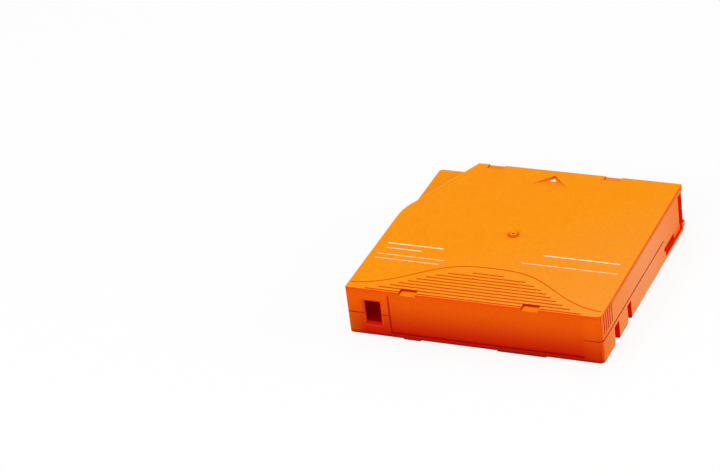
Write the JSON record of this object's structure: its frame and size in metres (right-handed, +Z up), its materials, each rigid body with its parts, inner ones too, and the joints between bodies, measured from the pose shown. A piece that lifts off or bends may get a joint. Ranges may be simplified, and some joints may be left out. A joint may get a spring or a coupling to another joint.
{
  "type": "tape cleaning cartridge",
  "caption": "Half-inch tape cleaning cartridge in an orange moulded case, with a sliding side door, a spring-loaded reel lock, wound cleaning tape and a leader pin.",
  "frame": {"origin": "middle of the footprint, on the plane of the feet", "axes": "+X to the right along the label face, +Y towards the insertion end, +Z up out of the roof"},
  "size_m": [0.1054, 0.102, 0.0215],
  "materials": {
    "upper_plastic": "fine-textured moulded orange",
    "lower_plastic": "fine-textured moulded orange",
    "door_plastic": "fine-textured moulded orange",
    "reel_plastic": "natural translucent white",
    "tape": "wound dark tape, satin edges",
    "spring_steel": "drawn wire and strip",
    "pin_steel": "turned and polished",
    "plate_steel": "stamped, brushed",
    "screw_steel": "zinc plated",
    "clip_plastic": "smooth white",
    "pad_plastic": "smooth white",
    "brake_plastic": "smooth black",
    "board": "lacquered green",
    "chip": "potted black resin"
  },
  "bodies": {
    "case": {"upper_shell": "upper_plastic", "lower_shell": "lower_plastic", "door_spring": "spring_steel", "leader_pin": "pin_steel", "leader_clip": "clip_plastic", "lower_pin_spring": "spring_steel", "upper_pin_spring": "spring_steel", "tape_lead": "tape", "brake_spring": "spring_steel", "memory_board": "board", "memory_chip": "chip", "case_screws": "screw_steel"},
    "sliding_door": {"door": "door_plastic"},
    "reel": {"reel_hub": "reel_plastic", "upper_flange": "reel_plastic", "clutch_plate": "plate_steel", "tape_pack": "tape"},
    "pad": {"release_pad": "pad_plastic"},
    "brake": {"brake_button": "brake_plastic"}
  },
  "joints": [
    {"name": "door_slide", "type": "slide", "parent": "case", "child": "sliding_door", "axis": [0, -1, 0], "range_m": [0, 0.0205], "stiffness_N_per_m": 15, "springref_m": -0.012, "deforming": ["door_spring"]},
    {"name": "reel_spin", "type": "hinge", "parent": "case", "child": "reel", "pos_m": [0, 0, 0.0107], "axis": [0, 0, 1], "continuous": true},
    {"name": "pad_lift", "type": "slide", "parent": "reel", "child": "pad", "axis": [0, 0, 1], "range_m": [0, 0.0022]},
    {"name": "brake_lift", "type": "slide", "parent": "case", "child": "brake", "axis": [0, 0, 1], "range_m": [0, 0.0022], "stiffness_N_per_m": 500, "springref_m": -0.006, "deforming": ["brake_spring"]}
  ],
  "couplings": [
    {"joint": "brake_lift", "follows": "pad_lift", "ratio": 1}
  ]
}
